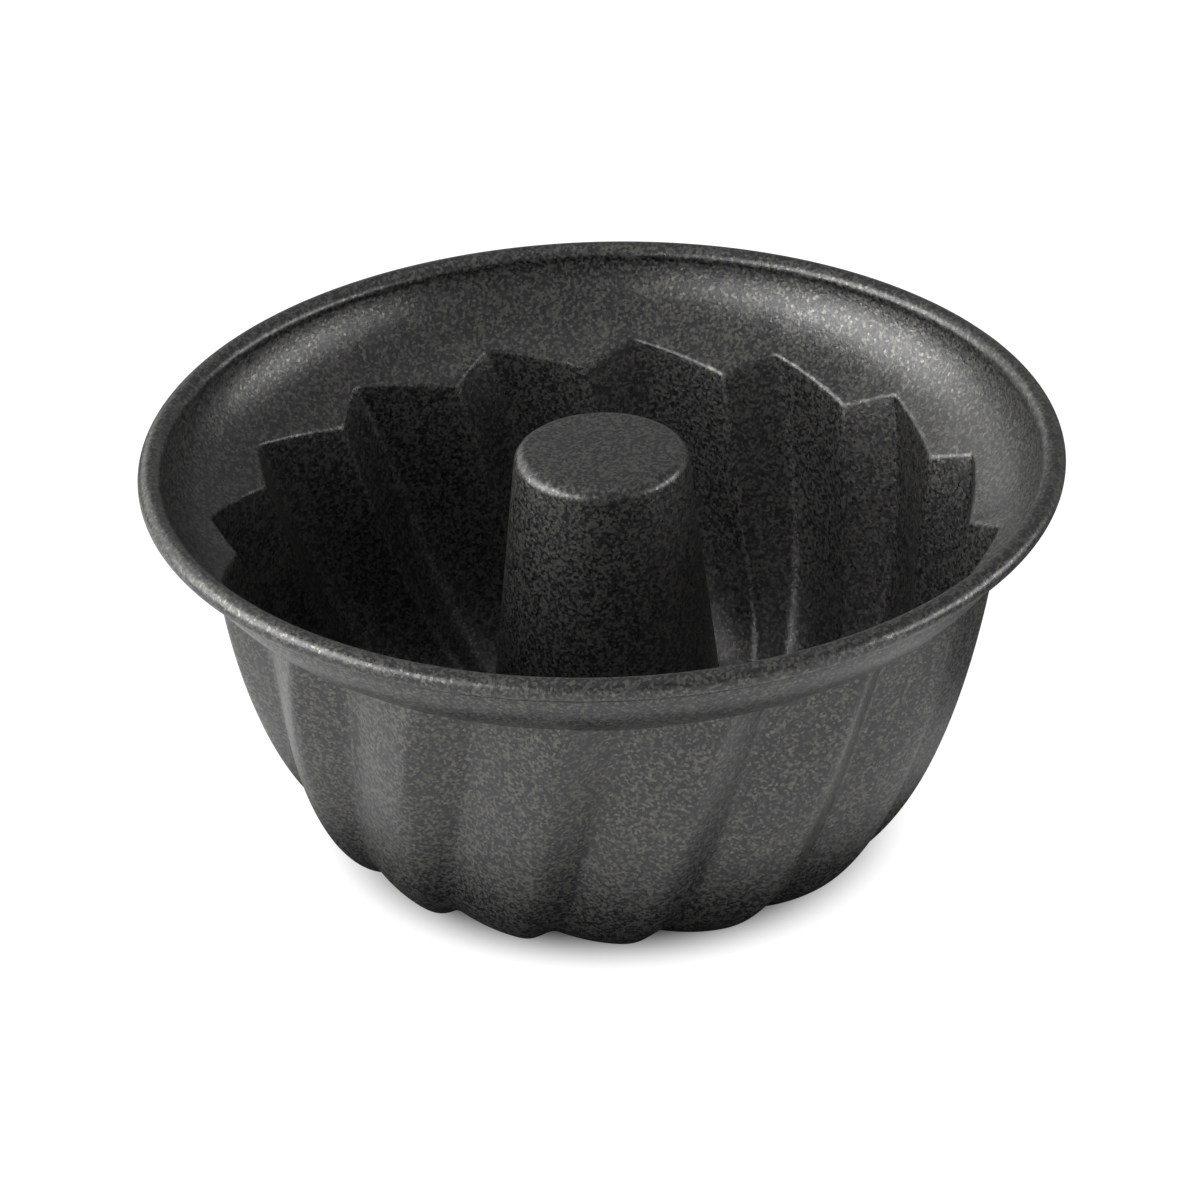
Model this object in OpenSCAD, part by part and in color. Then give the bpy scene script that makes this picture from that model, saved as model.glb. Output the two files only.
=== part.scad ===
// Fluted ring cake pan: a pressed shell with swirled flutes and a wired rim, and a closed centre tube.
// The pan stands on its crown, with the open mouth up. Z = 0 is the table, and Z is the pan's axis.

/* [Pan] */
// Diameter over the rolled rim
rim_d = 220; // [200:5:240]
// Height from the table to the top of the rim
pan_h = 101; // [92:1:110]
// Thickness of the pressed sheet
sheet_t = 0.8; // [0.6:0.1:0.9]

/* [Rim] */
// Diameter of the wire inside the rolled rim
wire_d = 3.6; // [3.2:0.1:4]
// Gap between the wire and the sheet rolled round it
wire_gap = 0.2; // [0.1:0.05:0.3]

/* [Flutes] */
// Number of flutes
flutes = 16; // [12:1:20]
// Turn of the flutes between the collar and the crown, clockwise from above on the way down
wall_swirl = 17.2; // [0:0.2:24]
// Further turn of the flutes across the underside of the crown
crown_swirl = 6.5; // [0:0.5:10]
// Share of a flute's pitch taken by its long side at the collar
long_side = 0.705; // [0.5:0.005:0.75]
// Growth of that share from the collar to the crown
long_side_growth = 0.064; // [0:0.002:0.1]
// How much rounder the lobes are at the crown than at the collar
lobe_rounding = 0.8; // [0:0.1:1]
// Half the width of a rounded ridge or groove at the collar, as a share of a flute's pitch
fold_soft_collar = 0.03; // [0.01:0.01:0.05]
// The same half width at the crown
fold_soft_crown = 0.08; // [0.02:0.01:0.1]

/* [Centre tube] */
// Diameter of the tube's flat top
tube_top_flat_d = 35.2; // [30:0.2:40]
// Outer radius of the rounded edge round the flat top
tube_edge_r = 3.3; // [2:0.1:4]
// Diameter of the tube where it meets the floor
tube_foot_d = 60.4; // [58:0.2:62]
// Depth of the tube's top below the top of the rim
tube_drop = 0.2; // [0:0.1:5]

/* [Seam] */
// Diameter of the hole in the shell's floor
hole_d = 63.2; // [62:0.1:64]
// Clearance between the tube and the floor sheet it is folded over
seam_gap = 0.05; // [0.02:0.01:0.1]
// Width of the flange folded out under the floor
flange_w = 3.5; // [3:0.1:4]

/* [Hidden] */
$fn = 96;

rim_r = rim_d / 2;
half_t = sheet_t / 2;
bead_r = wire_d / 2 + wire_gap + sheet_t;
bead_c = [rim_r - bead_r, pan_h - bead_r];

// A point given as a share of the rim's radius, and as a share of the depth below the rim's centre line
function place(p) = [p[0] * rim_r, bead_c[1] * (1 - p[1])];

function bezier(c, t) =
    pow(1 - t, 3) * c[0] + 3 * pow(1 - t, 2) * t * c[1] + 3 * (1 - t) * t * t * c[2] + pow(t, 3) * c[3];

function blend(a, b, s) = a + (b - a) * s;

// Profiles of the sheet's middle, down the ridge of a lobe and down the groove between two lobes
ridge_wall = [for (p = [[0.860, 0.178], [0.847, 0.270], [0.749, 1.005], [0.486, 1.005]]) place(p)];
groove_wall = [for (p = [[0.796, 0.220], [0.720, 0.562], [0.688, 0.966], [0.493, 0.966]]) place(p)];
ridge_crown = [for (p = [[0.486, 1.005], [0.41, 1.005], [0.40, 0.94], [0.323, 0.94]]) place(p)];
groove_crown = [for (p = [[0.493, 0.966], [0.43, 0.966], [0.40, 0.94], [0.323, 0.94]]) place(p)];
floor_z = groove_crown[3][1];

// The collar is a bowl of rotation between the rim and the flutes. The ridges begin this far down it,
// and the grooves at its end.
collar_bends = [place([0.947, 0.067]), place([0.908, 0.165])];
collar_at_ridge = 0.78;

// The rim is rolled in flats that touch the round bead, from its inner side over the top and under
curl_step = 45;
curl_start = 202.5;
curl_flats = 7;
curl_mid_r = (bead_r - half_t) / cos(curl_step / 2);
function curl_point(i) =
    let (a = curl_start - (curl_flats - i) * curl_step)
    bead_c + curl_mid_r * [cos(a), sin(a)];

// Rows of the sheet, from the rolled edge down to the edge of the centre hole
curl_rows = curl_flats + 1;
collar_rows = 4;
wall_rows = 9;
crown_steps = [0.15, 0.4, 0.7, 1];
wall_start = curl_rows + collar_rows;
crown_start = wall_start + wall_rows + 1;
last_row = crown_start + len(crown_steps);

// Columns of one flute: four on the long side of the ridge, and three on the short side
long_cols = 4;
short_cols = 3;
flute_cols = long_cols + short_cols;
cols = flutes * flute_cols;

// Where the groove lies between two ridges, as a share of the pitch, t of the way down the wall
function groove_phase(t) = long_side + long_side_growth * t;

// Phase of column c in its flute
function phase(c, t) = c < long_cols
    ? groove_phase(t) * c / long_cols
    : blend(groove_phase(t), 1, (c - long_cols) / short_cols);

// Integral from 0 of the sawtooth that climbs from 0 to 1 up to phase m, and falls back to 0 at phase 1
function tooth_area(x, m) =
    let (whole = floor(x))
    let (rise = min(x - whole, m))
    let (fall = max(x - whole - m, 0))
    whole / 2 + rise * rise / (2 * m) + fall - fall * fall / (2 * (1 - m));

// How far column c is from the ridge (0) to the groove (1), with both of them rounded
function fold(c, t) =
    let (m = groove_phase(t))
    let (h = blend(fold_soft_collar, fold_soft_crown, t))
    let (soft = (tooth_area(phase(c, t) + h, m) - tooth_area(phase(c, t) - h, m)) / (2 * h))
    pow(soft, 1 + lobe_rounding * t * t);

// Turn of the ridges, t of the way down the wall, as shares that go with t, its square and its cube
swirl_shares = [0.616, 0.5, -0.116];
function swirl(t) = wall_swirl * swirl_shares * [t, t * t, t * t * t];

// Distance from the axis and height of the sheet's middle in row i and column c of a flute
function profile(i, c) =
    let (t = min(1, max(0, (i - wall_start) / wall_rows)))
    let (s = fold(c, t))
    i < curl_rows ? curl_point(i)
    : i < wall_start ? collar_point((i - curl_rows + 1) / (collar_rows + 1), s)
    : i < crown_start ? blend(bezier(ridge_wall, t), bezier(groove_wall, t), s)
    : i < last_row ? crown_point(crown_steps[i - crown_start], s)
    : [hole_d / 2, floor_z];

// The bowl down to the flute's edge, with the last of it drawn onto that edge
function collar_point(t, s) =
    let (bowl = [curl_point(curl_flats), collar_bends[0], collar_bends[1], groove_wall[0]])
    let (reach = blend(collar_at_ridge, 1, s))
    let (edge = blend(ridge_wall[0], groove_wall[0], s))
    bezier(bowl, t * reach) + (edge - bezier(bowl, reach)) * t * t;

function crown_point(t, s) = blend(bezier(ridge_crown, t), bezier(groove_crown, t), s);

// Angle of column j in row i. The first ridge meets the table on the +X side.
function column_angle(i, j) =
    let (t = min(1, max(0, (i - wall_start) / wall_rows)))
    let (u = i < crown_start ? 0 : i < last_row ? crown_steps[i - crown_start] : 1)
    let (turns = floor(j / flute_cols) + phase(j % flute_cols, t))
    wall_swirl - swirl(t) - crown_swirl * u - turns * 360 / flutes;

function sheet_point(i, j) =
    let (p = profile(i, j % flute_cols))
    let (a = column_angle(i, j))
    [p[0] * cos(a), p[0] * sin(a), p[1]];

mid_sheet = [for (i = [0:last_row]) [for (j = [0:cols - 1]) sheet_point(i, j)]];

// Direction out of the pan at row i and column j
function outward(i, j) =
    let (down = mid_sheet[min(i + 1, last_row)][j] - mid_sheet[max(i - 1, 0)][j])
    let (round = mid_sheet[i][(j + 1) % cols] - mid_sheet[i][(j + cols - 1) % cols])
    let (n = cross(round, down))
    n / norm(n);

// One side of the sheet, no lower than z_min, so that each lobe ends in a small flat on the table
function face_point(i, j, side, z_min) =
    let (mitre = i < curl_rows ? 1 / cos(curl_step / 2) : 1)
    let (p = mid_sheet[i][j] + side * half_t * mitre * outward(i, j))
    [p[0], p[1], max(p[2], z_min)];

module fluted_shell() {
    rings = 2 * (last_row + 1);
    outside = [for (i = [0:last_row]) for (j = [0:cols - 1]) face_point(i, j, 1, 0)];
    inside = [for (i = [last_row:-1:0]) for (j = [0:cols - 1]) face_point(i, j, -1, sheet_t)];
    faces = [
        for (i = [0:rings - 1])
        for (j = [0:cols - 1])
        let (a = i * cols + j)
        let (b = i * cols + (j + 1) % cols)
        let (c = (i + 1) % rings * cols + (j + 1) % cols)
        let (d = (i + 1) % rings * cols + j)
        each [[a, c, b], [a, d, c]]
    ];
    color("dimgray") polyhedron(points = concat(outside, inside), faces = faces, convexity = 8);
}

// Outline of a bent strip of sheet round the middle line of its section
function side_point(path, i, side) =
    let (last = len(path) - 1)
    let (a = i == 0 ? path[1] - path[0] : path[i] - path[i - 1])
    let (b = i == last ? a : path[i + 1] - path[i])
    let (na = [-a[1], a[0]] / norm(a))
    let (nb = [-b[1], b[0]] / norm(b))
    path[i] + side * half_t * (na + nb) / (1 + na * nb);
function strip(path) = concat(
    [for (i = [0:len(path) - 1]) side_point(path, i, 1)],
    [for (i = [len(path) - 1:-1:0]) side_point(path, i, -1)]
);

// Points on an arc from angle a to angle b
function arc(centre, r, a, b, steps) = [
    for (i = [0:steps])
    let (w = blend(a, b, i / steps))
    centre + r * [cos(w), sin(w)]
];

// Middle line of the tube's section: flat top, rounded edge, taper, the ridge that sits on the floor,
// the neck through the hole and the flange folded out under the floor
tube_top_z = pan_h - tube_drop - half_t;
edge_c = [tube_top_flat_d / 2, tube_top_z - tube_edge_r + half_t];
edge_steps = 8;
foot_rise = 3.6;
foot = [tube_foot_d / 2 - half_t, floor_z + foot_rise];
edge_run = foot - edge_c;
edge_mid_r = tube_edge_r - half_t;
taper = atan2(edge_run[0], -edge_run[1]) - asin(edge_mid_r / norm(edge_run));
neck_r = hole_d / 2 - 2 * seam_gap - half_t;
ridge_out = 2;
ridge_bend_r = 0.8;
ridge_from = 75;
ridge_steps = 6;
above_floor = floor_z + sheet_t + seam_gap;
below_floor = floor_z - sheet_t - seam_gap;
ridge_c = [neck_r + ridge_out, above_floor + ridge_bend_r];
tube_path = concat(
    [[0, tube_top_z]],
    arc(edge_c, edge_mid_r, 90, taper, edge_steps),
    [foot],
    arc(ridge_c, ridge_bend_r, ridge_from, -90, ridge_steps),
    [[neck_r, above_floor], [neck_r, below_floor], [hole_d / 2 + flange_w, below_floor]]
);

module centre_tube() {
    color("darkslategray") rotate_extrude() polygon(strip(tube_path));
}

module rim_wire() {
    color("silver") rotate_extrude() translate(bead_c) circle(d = wire_d);
}

fluted_shell();
centre_tube();
rim_wire();
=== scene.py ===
"""Fluted ring cake pan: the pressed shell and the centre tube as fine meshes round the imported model."""

import math

import bpy
import numpy as np
from mathutils import Matrix, Vector


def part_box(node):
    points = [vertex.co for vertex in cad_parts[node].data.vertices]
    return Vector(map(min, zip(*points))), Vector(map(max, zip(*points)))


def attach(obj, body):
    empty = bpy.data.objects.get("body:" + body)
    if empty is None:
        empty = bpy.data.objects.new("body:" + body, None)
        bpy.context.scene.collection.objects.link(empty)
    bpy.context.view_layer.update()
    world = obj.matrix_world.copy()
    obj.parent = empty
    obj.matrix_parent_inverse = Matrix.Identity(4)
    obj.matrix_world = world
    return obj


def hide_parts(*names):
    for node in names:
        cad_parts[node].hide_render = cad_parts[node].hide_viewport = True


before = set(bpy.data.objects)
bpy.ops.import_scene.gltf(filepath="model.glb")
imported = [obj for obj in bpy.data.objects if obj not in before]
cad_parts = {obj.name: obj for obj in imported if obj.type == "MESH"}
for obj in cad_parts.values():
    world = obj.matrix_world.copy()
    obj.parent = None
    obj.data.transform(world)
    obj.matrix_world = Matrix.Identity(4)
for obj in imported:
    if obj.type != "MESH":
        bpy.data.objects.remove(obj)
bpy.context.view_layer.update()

# ---------------------------------------------------------------- sizes, in metres
SHEET = 0.0008
HALF = SHEET / 2
WIRE_GAP = 0.0002      # between the wire and the sheet rolled round it
SEAM_GAP = 0.00005     # between the tube and the shell's floor
RIM_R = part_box("rim_wire")[1].x + WIRE_GAP + SHEET
PAN_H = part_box("fluted_shell")[1].z
TUBE_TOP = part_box("centre_tube")[1].z
WIRE_MID_Z = (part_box("rim_wire")[0].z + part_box("rim_wire")[1].z) / 2
BEAD_R = PAN_H - WIRE_MID_Z
BEAD = np.array([RIM_R - BEAD_R, WIRE_MID_Z])

FLUTES = 16
WALL_SWIRL = math.radians(17.2)
CROWN_SWIRL = math.radians(6.5)
SWIRL_SHARES = (0.616, 0.5, -0.116)   # of the wall's turn: with t, its square and its cube
LONG_SIDE = 0.705
LONG_SIDE_GROWTH = 0.064
LOBE_ROUNDING = 0.8
# Half the width of a rounded fold at the collar and at the crown, in pitches
FOLD_HALF_WIDTH = (0.030, 0.080)
# Reach of the rounding between collar and flutes, at ridges and at grooves
CREASE_FILLET = (0.0006, 0.0012)
CURL_DEG = (-112, 195)   # the rolled edge, from its free end to the top of the collar
HOLE_R = 0.0316
FLOOR_RINGS = (0.0348, 0.0332, HOLE_R)   # on the flat floor round the hole


def place(r_share, drop_share):
    """A point of the section, as shares of the rim's radius and of the depth below its centre line."""
    return np.array([r_share * RIM_R, WIRE_MID_Z * (1 - drop_share)])


RIDGE_WALL = [place(0.860, 0.178), place(0.847, 0.270), place(0.749, 1.005), place(0.486, 1.005)]
GROOVE_WALL = [place(0.796, 0.220), place(0.720, 0.562), place(0.688, 0.966), place(0.493, 0.966)]
RIDGE_CROWN = [place(0.486, 1.005), place(0.41, 1.005), place(0.40, 0.94), place(0.323, 0.94)]
GROOVE_CROWN = [place(0.493, 0.966), place(0.43, 0.966), place(0.40, 0.94), place(0.323, 0.94)]
# The bowl under the bead, a shape of rotation
COLLAR = [place(0.947, 0.067), place(0.908, 0.165), GROOVE_WALL[0]]
COLLAR_AT_RIDGE = 0.78   # how far down that bowl the ridges of the flutes begin
FLOOR_Z = place(0, 0.94)[1]


# ---------------------------------------------------------------- curves
def bezier(c, t):
    t = np.asarray(t)[..., None]
    return (1 - t) ** 3 * c[0] + 3 * (1 - t) ** 2 * t * c[1] + 3 * (1 - t) * t * t * c[2] + t ** 3 * c[3]


def eased(n, ends):
    """n + 1 steps from 0 to 1, closer together at both ends as ends goes from 0 to 1."""
    v = np.linspace(0, 1, n + 1)
    return v * (1 - ends) + (1 - np.cos(np.pi * v)) / 2 * ends


def tooth_area(x, long_side):
    """Integral from 0 of the sawtooth that climbs from 0 to 1 over long_side and falls over the rest."""
    whole, x = np.floor(x), x % 1.0
    rise = np.minimum(x, long_side)
    fall = np.maximum(x - long_side, 0)
    return whole / 2 + rise ** 2 / (2 * long_side) + fall - fall ** 2 / (2 * (1 - long_side))


def fold(phase, long_side, t):
    """0 on a ridge and 1 in a groove, with both rounded."""
    h = FOLD_HALF_WIDTH[0] + (FOLD_HALF_WIDTH[1] - FOLD_HALF_WIDTH[0]) * t
    soft = (tooth_area(phase + h, long_side) - tooth_area(phase - h, long_side)) / (2 * h)
    return soft ** (1 + LOBE_ROUNDING * t ** 2)


def swirl(t):
    a, b, c = SWIRL_SHARES
    return WALL_SWIRL * (a * t + b * t ** 2 + c * t ** 3)


# ---------------------------------------------------------------- mesh helpers
def mesh_object(name, points, faces, sharp_deg=40):
    mesh = bpy.data.meshes.new(name)
    mesh.from_pydata(points.reshape(-1, 3).tolist(), [], faces)
    mesh.validate()
    mesh.polygons.foreach_set("use_smooth", [True] * len(mesh.polygons))
    mesh.set_sharp_from_angle(angle=math.radians(sharp_deg))
    obj = bpy.data.objects.new(name, mesh)
    bpy.context.collection.objects.link(obj)
    return obj


def band(rings, cols, closed):
    """Quads between neighbouring rings of cols points each; closed joins the last ring to the first."""
    i, j = np.meshgrid(np.arange(rings if closed else rings - 1), np.arange(cols), indexing="ij")
    k, n = (i + 1) % rings, (j + 1) % cols
    quads = np.stack([i * cols + j, k * cols + j, k * cols + n, i * cols + n], -1)
    return quads.reshape(-1, 4).tolist()


def turned(r, z, angle):
    return np.stack([r * np.cos(angle), r * np.sin(angle), z + 0 * angle], -1)


# ---------------------------------------------------------------- fluted shell
def fluted_shell():
    long_cols, short_cols = 16, 10
    step = np.r_[eased(long_cols, 0.6)[:-1], 1 + eased(short_cols, 0.6)[:-1]]
    flute_cols = long_cols + short_cols
    flute = np.repeat(np.arange(FLUTES), flute_cols)
    step = np.tile(step, FLUTES)

    def column(t):
        """Phase and fold of every column, t of the way down the wall."""
        long_side = LONG_SIDE + LONG_SIDE_GROWTH * t
        phase = np.where(step < 1, step * long_side, long_side + (step - 1) * (1 - long_side))
        return phase, fold(phase, long_side, t)

    def ring(profile, t, crown_turn=0.0):
        """Points of one ring: profile is (r, z) for each column."""
        phase, _ = column(t)
        angle = WALL_SWIRL - swirl(t) - CROWN_SWIRL * crown_turn - (flute + phase) * 2 * np.pi / FLUTES
        return turned(profile[..., 0], profile[..., 1], angle)

    def wall(t):
        s = column(t)[1][:, None]
        return bezier(RIDGE_WALL, t) * (1 - s) + bezier(GROOVE_WALL, t) * s

    s0 = column(0)[1][:, None]
    crease = RIDGE_WALL[0] * (1 - s0) + GROOVE_WALL[0] * s0
    bead_mid = BEAD_R - HALF
    curl = [BEAD + bead_mid * np.array([math.cos(a), math.sin(a)])
            for a in np.radians(np.linspace(*CURL_DEG, 48))]
    top = curl[-1]
    bowl = [top] + COLLAR
    reach = COLLAR_AT_RIDGE + (1 - COLLAR_AT_RIDGE) * s0[:, 0]
    settle = crease - bezier(bowl, reach)

    def collar(u):
        """The bowl down to the crease, with the last of it drawn onto the crease."""
        return bezier(bowl, u * reach) + settle * (u ** 2)[:, None]

    ones = np.ones(len(step))
    wall_lead = (RIDGE_WALL[1] - RIDGE_WALL[0]) * (1 - s0) + (GROOVE_WALL[1] - GROOVE_WALL[0]) * s0
    fillet = CREASE_FILLET[0] + (CREASE_FILLET[1] - CREASE_FILLET[0]) * s0[:, 0]
    last_bit = 0.05
    last_length = np.linalg.norm(collar(ones) - collar((1 - last_bit) * ones), axis=1)
    collar_end = 1 - fillet * last_bit / last_length
    wall_begin = fillet / (3 * np.linalg.norm(wall_lead, axis=1))

    rings = [ring(np.tile(p, (len(step), 1)), 0) for p in curl]
    rings += [ring(collar(u * collar_end), 0) for u in np.linspace(0, 1, 24)[1:]]
    before, corner, after = rings[-1], ring(crease, 0), ring(wall(wall_begin), wall_begin)
    rings += [(1 - u) ** 2 * before + 2 * u * (1 - u) * corner + u * u * after
              for u in np.linspace(0, 1, 9)[1:-1]]
    rings += [ring(wall(t), t) for t in wall_begin + (1 - wall_begin) * eased(64, 0.3)[:, None]]
    s1 = column(1)[1][:, None]
    for u in eased(24, 0.3)[1:]:
        profile = bezier(RIDGE_CROWN, u) * (1 - s1) + bezier(GROOVE_CROWN, u) * s1
        rings.append(ring(profile, 1, u))
    for r in FLOOR_RINGS:
        rings.append(ring(np.tile([r, FLOOR_Z], (len(step), 1)), 1, 1))

    mid = np.array(rings)
    down = np.gradient(mid, axis=0)
    around = np.roll(mid, -1, axis=1) - np.roll(mid, 1, axis=1)
    normal = np.cross(around, down)
    normal /= np.linalg.norm(normal, axis=2, keepdims=True)
    outside = mid + HALF * normal
    inside = mid - HALF * normal
    outside[..., 2] = np.maximum(outside[..., 2], 0)
    inside[..., 2] = np.maximum(inside[..., 2], SHEET)
    sheet = np.concatenate([outside, inside[::-1]])
    return mesh_object("shell", sheet, band(len(sheet), len(step), True))


# ---------------------------------------------------------------- centre tube
def rounded(corners, steps=8):
    """Polyline through (r, z, radius) corners, each one rounded to its radius."""
    path = [np.array(corners[0][:2])]
    for a, b, c in zip(corners, corners[1:], corners[2:]):
        p = np.array(b[:2])
        u, v = np.array(a[:2]) - p, np.array(c[:2]) - p
        u, v = u / np.linalg.norm(u), v / np.linalg.norm(v)
        half_angle = math.acos(np.clip(u @ v, -1, 1)) / 2
        centre = p + (u + v) / np.linalg.norm(u + v) * b[2] / math.sin(half_angle)
        reach = b[2] / math.tan(half_angle)
        first, last = p + u * reach - centre, p + v * reach - centre
        sweep = math.pi - 2 * half_angle
        turn = math.copysign(1, first[0] * last[1] - first[1] * last[0])
        for w in np.linspace(0, sweep * turn, steps + 1):
            path.append(centre + np.array([first[0] * math.cos(w) - first[1] * math.sin(w),
                                           first[0] * math.sin(w) + first[1] * math.cos(w)]))
    path.append(np.array(corners[-1][:2]))
    return np.array(path)


def centre_tube():
    top, foot_z = TUBE_TOP - HALF, FLOOR_Z + 0.0036
    above, below = FLOOR_Z + SHEET + SEAM_GAP, FLOOR_Z - SHEET - SEAM_GAP
    neck = HOLE_R - 2 * SEAM_GAP - HALF
    flange_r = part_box("centre_tube")[1].x
    path = rounded([
        (0, top, 0),
        (0.0202, top, 0.0029),
        (0.0298, foot_z, 0.0012),
        (neck + 0.0028, above + 0.0018, 0.00079),
        (neck + 0.0028, above, 0.00079),
        (neck, above, 0.00045),
        (neck, below, 0.00045),
        (flange_r, below, 0),
    ])
    along = np.gradient(path, axis=0)
    side = np.stack([-along[:, 1], along[:, 0]], -1)
    side /= np.linalg.norm(side, axis=1, keepdims=True)
    outline = np.concatenate([path + HALF * side, (path - HALF * side)[::-1]])
    outline[:, 0] = np.maximum(outline[:, 0], 0)
    cols = 160
    angle = np.linspace(0, 2 * np.pi, cols, endpoint=False)
    first, last = outline[0], outline[-1]
    rings = np.array([turned(r, z, angle) for r, z in outline[1:-1]])
    points = np.concatenate([rings.reshape(-1, 3), [[0, 0, first[1]], [0, 0, last[1]]]])
    faces = band(len(rings), cols, False)
    pole, end = len(points) - 2, (len(rings) - 1) * cols
    for j in range(cols):
        faces.append([pole, j, (j + 1) % cols])
        faces.append([pole + 1, end + (j + 1) % cols, end + j])
    return mesh_object("tube", points, faces)


# ---------------------------------------------------------------- materials
def node(tree, kind, **inputs):
    made = tree.nodes.new(kind)
    for name, value in inputs.items():
        made.inputs[name.replace("_", " ")].default_value = value
    return made


def coating(name):
    """Dark non-stick coating with fine metal flake, sprayed on steel sheet."""
    material = bpy.data.materials.new(name)
    material.use_nodes = True
    tree = material.node_tree
    tree.nodes.clear()
    link = tree.links.new
    coords = tree.nodes.new("ShaderNodeTexCoord").outputs["Object"]

    grain = node(tree, "ShaderNodeTexNoise", Scale=1100, Detail=3, Roughness=0.6)
    flake = node(tree, "ShaderNodeTexVoronoi", Scale=1500)
    for texture in (grain, flake):
        link(coords, texture.inputs["Vector"])

    lacquer = tree.nodes.new("ShaderNodeValToRGB")
    lacquer.color_ramp.elements[0].position = 0.36
    lacquer.color_ramp.elements[0].color = (0.002, 0.002, 0.002, 1)
    lacquer.color_ramp.elements[1].position = 0.64
    lacquer.color_ramp.elements[1].color = (0.0120, 0.0123, 0.0138, 1)
    link(grain.outputs["Fac"], lacquer.inputs["Fac"])

    spark = tree.nodes.new("ShaderNodeValToRGB")
    spark.color_ramp.elements[0].position = 0.45
    spark.color_ramp.elements[0].color = (0, 0, 0, 1)
    spark.color_ramp.elements[1].position = 0.95
    spark.color_ramp.elements[1].color = (1, 1, 1, 1)
    link(flake.outputs["Color"], spark.inputs["Fac"])
    colour = tree.nodes.new("ShaderNodeMix")
    colour.data_type = "RGBA"
    link(spark.outputs["Color"], colour.inputs["Factor"])
    link(lacquer.outputs["Color"], colour.inputs["A"])
    colour.inputs["B"].default_value = (0.19, 0.187, 0.168, 1)

    rough = node(tree, "ShaderNodeMapRange", From_Min=0.3, From_Max=0.7, To_Min=0.24, To_Max=0.46)
    link(grain.outputs["Fac"], rough.inputs["Value"])

    bump = node(tree, "ShaderNodeBump", Strength=1.0, Distance=0.00008)
    link(grain.outputs["Fac"], bump.inputs["Height"])

    shader = node(tree, "ShaderNodeBsdfPrincipled", IOR=1.70)
    link(colour.outputs["Result"], shader.inputs["Base Color"])
    link(spark.outputs["Color"], shader.inputs["Metallic"])
    link(rough.outputs["Result"], shader.inputs["Roughness"])
    link(bump.outputs["Normal"], shader.inputs["Normal"])
    out = tree.nodes.new("ShaderNodeOutputMaterial")
    link(shader.outputs["BSDF"], out.inputs["Surface"])
    return material


def bare_wire():
    """Drawn steel wire, with fine lines round it."""
    material = bpy.data.materials.new("drawn_steel")
    material.use_nodes = True
    tree = material.node_tree
    shader = tree.nodes["Principled BSDF"]
    shader.inputs["Base Color"].default_value = (0.42, 0.41, 0.40, 1)
    shader.inputs["Metallic"].default_value = 1.0
    coords = tree.nodes.new("ShaderNodeTexCoord").outputs["Object"]
    lines = node(tree, "ShaderNodeTexNoise", Scale=900, Detail=2)
    tree.links.new(coords, lines.inputs["Vector"])
    rough = node(tree, "ShaderNodeMapRange", To_Min=0.3, To_Max=0.5)
    tree.links.new(lines.outputs["Fac"], rough.inputs["Value"])
    tree.links.new(rough.outputs["Result"], shader.inputs["Roughness"])
    return material


def glowing(name, inner, outer, strength, shade):
    """Emission that rises from nothing at inner to full at outer metres from the pan's axis, which paints
    a soft shadow round the foot. shade is (x, y, from, to, least): a painted shade, where the emission falls
    to least along that direction."""
    material = bpy.data.materials.new(name)
    material.use_nodes = True
    tree = material.node_tree
    link = tree.links.new
    shader = tree.nodes["Principled BSDF"]
    shader.inputs["Base Color"].default_value = (0.12, 0.12, 0.12, 1)
    shader.inputs["Roughness"].default_value = 0.9
    shader.inputs["Emission Color"].default_value = (1, 1, 1, 1)
    coords = tree.nodes.new("ShaderNodeTexCoord").outputs["Object"]
    radius = node(tree, "ShaderNodeVectorMath")
    radius.operation = "LENGTH"
    link(coords, radius.inputs[0])
    # painted shadow: no emission near the axis, full emission beyond outer
    glow = node(tree, "ShaderNodeMapRange", From_Min=inner, From_Max=outer, To_Min=0.0, To_Max=strength)
    glow.interpolation_type = "SMOOTHSTEP"
    link(radius.outputs["Value"], glow.inputs["Value"])
    along = node(tree, "ShaderNodeVectorMath")
    along.operation = "DOT_PRODUCT"
    along.inputs[1].default_value = (shade[0], shade[1], 0)
    link(coords, along.inputs[0])
    # painted shade: the emission falls to least along the shade direction
    fall = node(tree, "ShaderNodeMapRange", From_Min=shade[2], From_Max=shade[3], To_Min=1.0, To_Max=shade[4])
    fall.interpolation_type = "SMOOTHSTEP"
    link(along.outputs["Value"], fall.inputs["Value"])
    product = tree.nodes.new("ShaderNodeMath")
    product.operation = "MULTIPLY"
    link(glow.outputs["Result"], product.inputs[0])
    link(fall.outputs["Result"], product.inputs[1])
    link(product.outputs["Value"], shader.inputs["Emission Strength"])
    return material


# ---------------------------------------------------------------- the object
shell = fluted_shell()
shell.data.materials.append(coating("coating_shell"))
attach(shell, "root")
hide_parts("fluted_shell")

tube = centre_tube()
tube.data.materials.append(coating("coating_tube"))
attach(tube, "root")
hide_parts("centre_tube")

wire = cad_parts["rim_wire"]
wire.data.materials.clear()
wire.data.materials.append(bare_wire())


# ---------------------------------------------------------------- floor, light and camera
def ground(name, z, material):
    size = 6.0
    mesh = bpy.data.meshes.new(name)
    corners = [(-size, -size, z), (size, -size, z), (size, size, z), (-size, size, z)]
    mesh.from_pydata(corners, [], [(0, 1, 2, 3)])
    mesh.materials.append(material)
    obj = bpy.data.objects.new(name, mesh)
    bpy.context.collection.objects.link(obj)
    return obj


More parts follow.
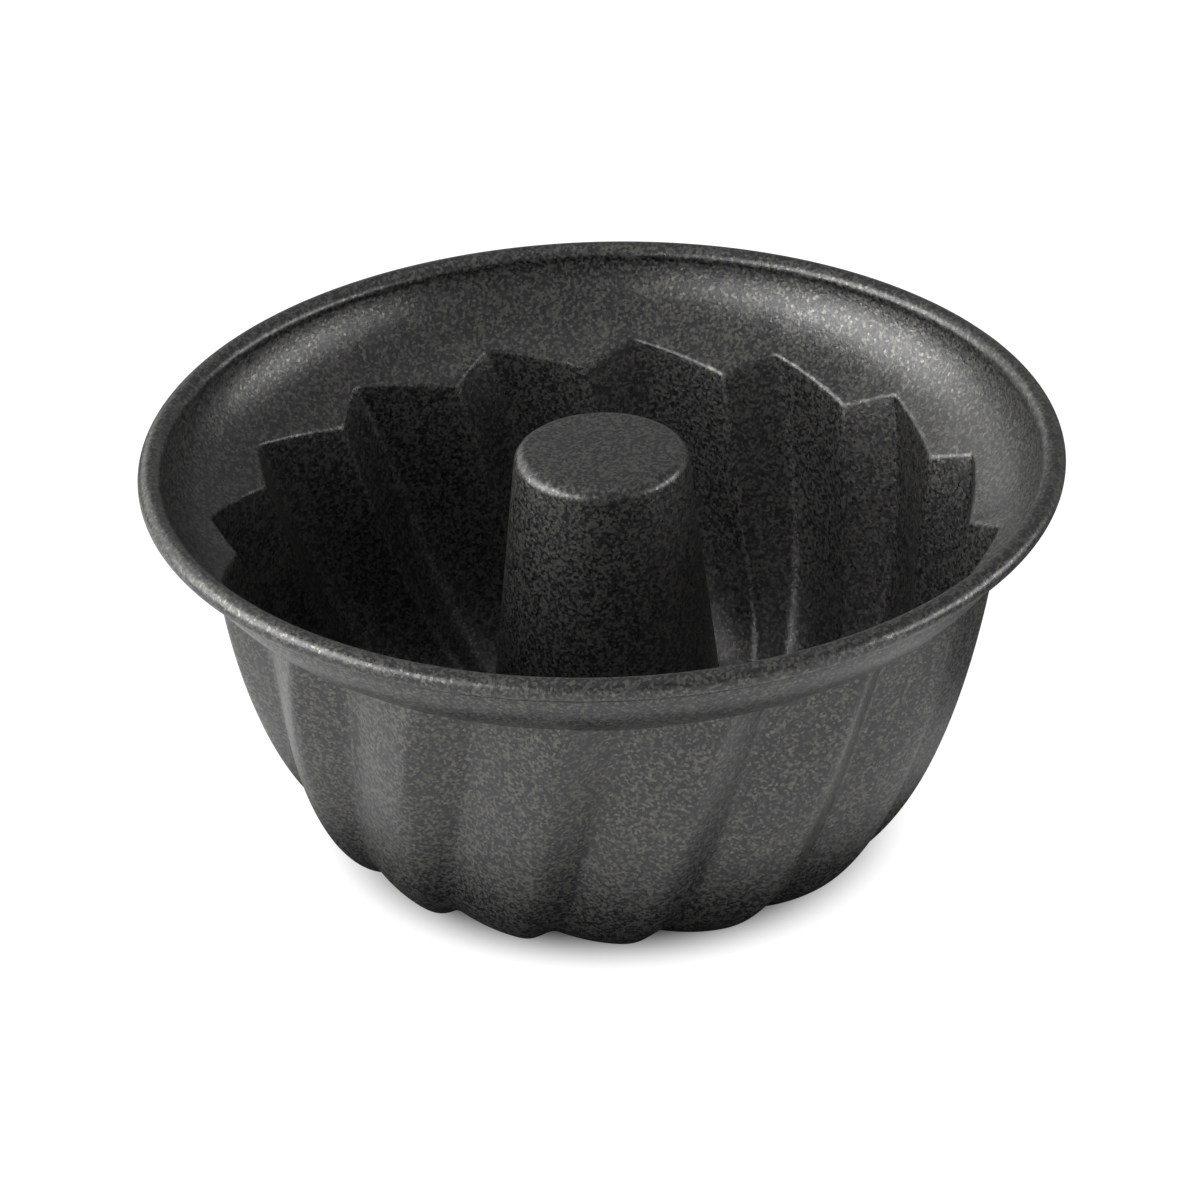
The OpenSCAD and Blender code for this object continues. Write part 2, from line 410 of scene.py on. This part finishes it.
def floor():
    """A white floor for the camera with a painted shadow round the foot, and under it the dimmer card that
    the pan's coating mirrors, with a painted shadow under the pan and painted shade towards the back right.
    """
    unshaded = (0, 1, 1, 2, 1.0)
    # painted shade: the card's glow falls away towards the back right
    painted_shade_back_right = (0.55, 0.83, 0.03, 0.10, 0.12)
    # painted shadow: the floor's glow fades to nothing round the pan's foot
    seen = ground("floor", 0, glowing("pale_floor_painted_shadow", 0.052, 0.0745, 1.0, unshaded))
    seen.visible_glossy = False
    seen.visible_diffuse = False
    # painted shadow: the card is dark under and round the pan, so the lower walls mirror painted shade
    card = ground("floor_card", -0.0004, glowing("card", 0.074, 0.112, 0.80, painted_shade_back_right))
    card.visible_camera = False


def softbox(name, azimuth, elevation, distance, width, height, radiance):
    """A rectangular light aimed at the pan. Azimuth 0 is behind it, and 90 to its right."""
    a, e = math.radians(azimuth), math.radians(elevation)
    towards = Vector((math.sin(a) * math.cos(e), math.cos(a) * math.cos(e), math.sin(e)))
    data = bpy.data.lights.new(name, "AREA")
    data.shape = "RECTANGLE"
    data.size, data.size_y = width, height
    data.energy = radiance * math.pi * width * height
    obj = bpy.data.objects.new(name, data)
    obj.location = Vector((0, 0, PAN_H / 2)) + towards * distance
    obj.rotation_euler = towards.to_track_quat("Z", "Y").to_euler()
    bpy.context.collection.objects.link(obj)


def room_light(strength):
    world = bpy.data.worlds.new("room")
    world.use_nodes = True
    background = world.node_tree.nodes["Background"]
    background.inputs["Color"].default_value = (1, 1, 1, 1)
    background.inputs["Strength"].default_value = strength
    bpy.context.scene.world = world


def camera():
    """A long lens, 1.65 m away and 29 degrees above the table."""
    rim_centre = Vector((0, 0, WIRE_MID_Z))
    elevation, distance = math.radians(28.81), 1.645
    back = Vector((0, -math.cos(elevation), math.sin(elevation)))
    spot = rim_centre + back * distance
    aim = rim_centre + Vector((-0.0013, -0.0161, -0.0293))
    forward = (aim - spot).normalized()
    right = forward.cross(Vector((0, 0, 1))).normalized()
    up = right.cross(forward)
    roll = math.radians(1.706)
    right, up = right * math.cos(roll) - up * math.sin(roll), up * math.cos(roll) + right * math.sin(roll)
    turn = Matrix.Rotation(math.radians(-0.284), 4, "Z")
    axes = Matrix((right, up, -forward)).transposed().to_4x4()
    data = bpy.data.cameras.new("camera")
    data.sensor_width = 36
    data.lens = 208.0
    data.clip_start, data.clip_end = 0.1, 50
    obj = bpy.data.objects.new("camera", data)
    obj.matrix_world = turn @ (Matrix.Translation(spot) @ axes)
    bpy.context.collection.objects.link(obj)
    bpy.context.scene.camera = obj


floor()
softbox("light_left", -95, 9, 1.1, 1.0, 0.36, 6.0)
softbox("light_left_high", -95, 29, 1.1, 1.0, 0.36, 5.4)
softbox("light_left_back", -45, 25, 1.1, 0.8, 0.8, 1.2)
softbox("light_left_front", -134, 22, 1.1, 0.8, 0.5, 3.2)
softbox("light_right", 95, 10, 1.1, 1.0, 0.36, 4.4)
softbox("light_top", 0, 89, 1.3, 1.2, 1.2, 0.25)
room_light(0.30)
camera()
bpy.context.scene.view_settings.view_transform = "Standard"
